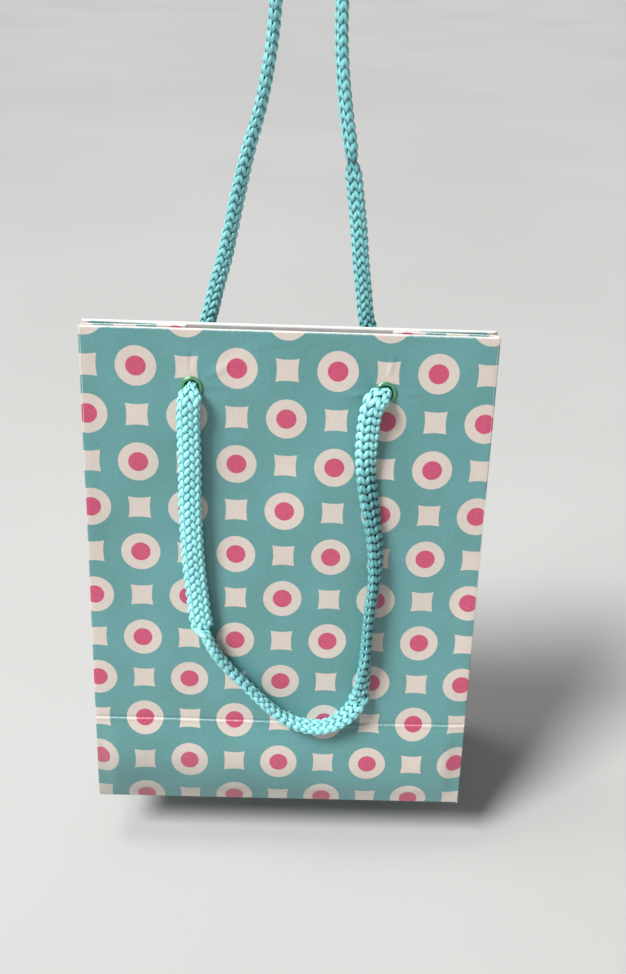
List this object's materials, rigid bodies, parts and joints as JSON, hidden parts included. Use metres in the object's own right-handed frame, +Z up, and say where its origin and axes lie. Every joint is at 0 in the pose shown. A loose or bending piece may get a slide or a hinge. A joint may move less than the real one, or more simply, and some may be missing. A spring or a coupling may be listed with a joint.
{
  "type": "gift bag",
  "caption": "Small printed paper gift bag with turned-in mouth, side gussets, flat base, metal eyelets and braided cord handles, hanging from the rear one.",
  "frame": {"origin": "the underside of the rear handle's loop, where the hook that holds the bag bears", "axes": "+Z up, the front panel faces -Y, +X to the right as seen from the front; the bag's middle plane is y = 0"},
  "size_m": [0.12, 0.0606, 0.2645],
  "materials": {
    "printed_paper": "coated art paper, satin, printed with ivory rings, pink dots and ivory squares on aqua",
    "grey_card": "uncoated grey card",
    "eyelet_metal": "glossy green enamel",
    "braided_cord": "shiny braided synthetic cord"
  },
  "bodies": {
    "base": {"base_front_flap": "printed_paper", "base_back_flap": "printed_paper", "base_left_tab": "printed_paper", "base_right_tab": "printed_paper", "base_card": "grey_card", "left_gusset_front": "printed_paper", "left_gusset_back": "printed_paper", "right_gusset_front": "printed_paper", "right_gusset_back": "printed_paper"},
    "front_side": {"front_panel": "printed_paper", "front_hem": "printed_paper", "front_strip": "grey_card", "front_eyelet_left": "eyelet_metal", "front_eyelet_right": "eyelet_metal", "front_cord_end_left": "braided_cord", "front_cord_end_right": "braided_cord", "front_knot_left": "braided_cord", "front_knot_right": "braided_cord"},
    "back_side": {"back_panel": "printed_paper", "back_hem": "printed_paper", "back_strip": "grey_card", "side_seam": "printed_paper", "back_eyelet_left": "eyelet_metal", "back_eyelet_right": "eyelet_metal", "back_cord_end_left": "braided_cord", "back_cord_end_right": "braided_cord", "back_knot_left": "braided_cord", "back_knot_right": "braided_cord"},
    "front_handle": {"front_handle": "braided_cord"},
    "rear_handle": {"rear_handle": "braided_cord"}
  },
  "joints": [
    {"name": "front_side_open", "type": "hinge", "parent": "base", "child": "front_side", "pos_m": [-0.003, -0.03, -0.25888], "axis": [1, 0, 0], "range_deg": [0, 9.84], "deforming": ["left_gusset_front", "right_gusset_front"]},
    {"name": "back_side_open", "type": "hinge", "parent": "base", "child": "back_side", "pos_m": [-0.003, 0.03, -0.25888], "axis": [-1, 0, 0], "range_deg": [0, 9.84], "deforming": ["left_gusset_back", "right_gusset_back"]},
    {"name": "front_handle_swing", "type": "hinge", "parent": "front_side", "child": "front_handle", "pos_m": [-0.003, -0.00965, -0.1193], "axis": [-1, 0, 0], "range_deg": [0, 170]},
    {"name": "rear_handle_swing", "type": "hinge", "parent": "back_side", "child": "rear_handle", "pos_m": [-0.003, 0.00965, -0.1193], "axis": [-1, 0, 0], "range_deg": [0, 165]}
  ]
}
